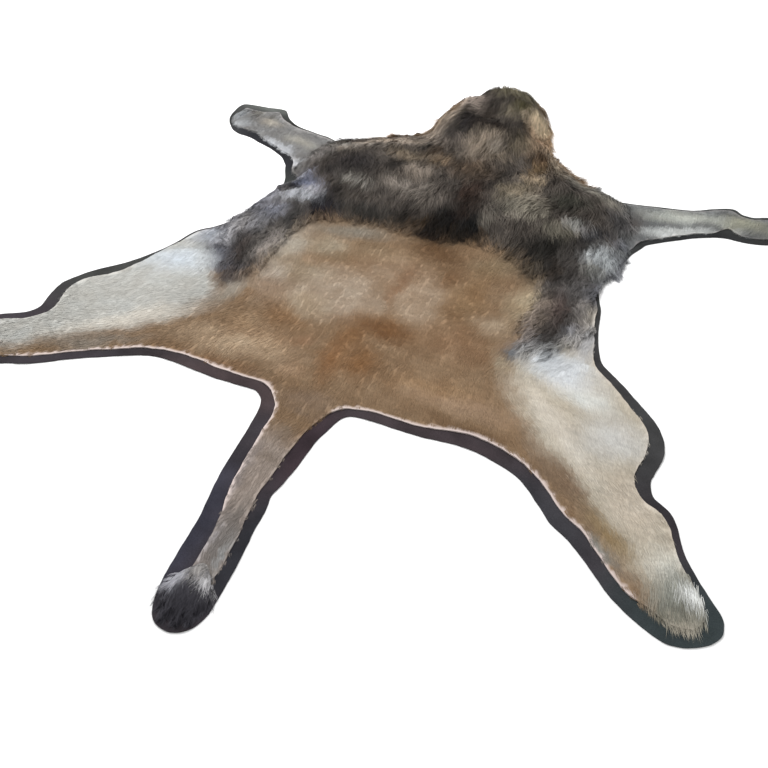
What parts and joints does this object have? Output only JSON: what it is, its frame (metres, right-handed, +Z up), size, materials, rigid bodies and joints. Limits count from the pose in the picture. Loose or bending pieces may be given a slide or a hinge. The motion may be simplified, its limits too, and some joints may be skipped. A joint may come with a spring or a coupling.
{
  "type": "lion skin rug",
  "caption": "Flat animal-skin rug with spread legs, a tail with a dark tuft and a raised mane of long hair, lying on a dark felt backing cut to its outline.",
  "frame": {"origin": "middle of the rug's box, on the floor under the felt", "axes": "+Y along the animal's back towards the head, +X towards the animal's right side, +Z up"},
  "size_m": [2.287, 2.662, 0.132],
  "materials": {
    "felt": "matt wool felt",
    "short_fur": "short fur with a soft sheen",
    "mane_hair": "long loose hair",
    "tuft_hair": "long loose hair"
  },
  "bodies": {
    "root": {"felt_backing": "felt", "skin": "short_fur", "mane": "mane_hair", "tail_tuft": "tuft_hair"}
  },
  "joints": []
}
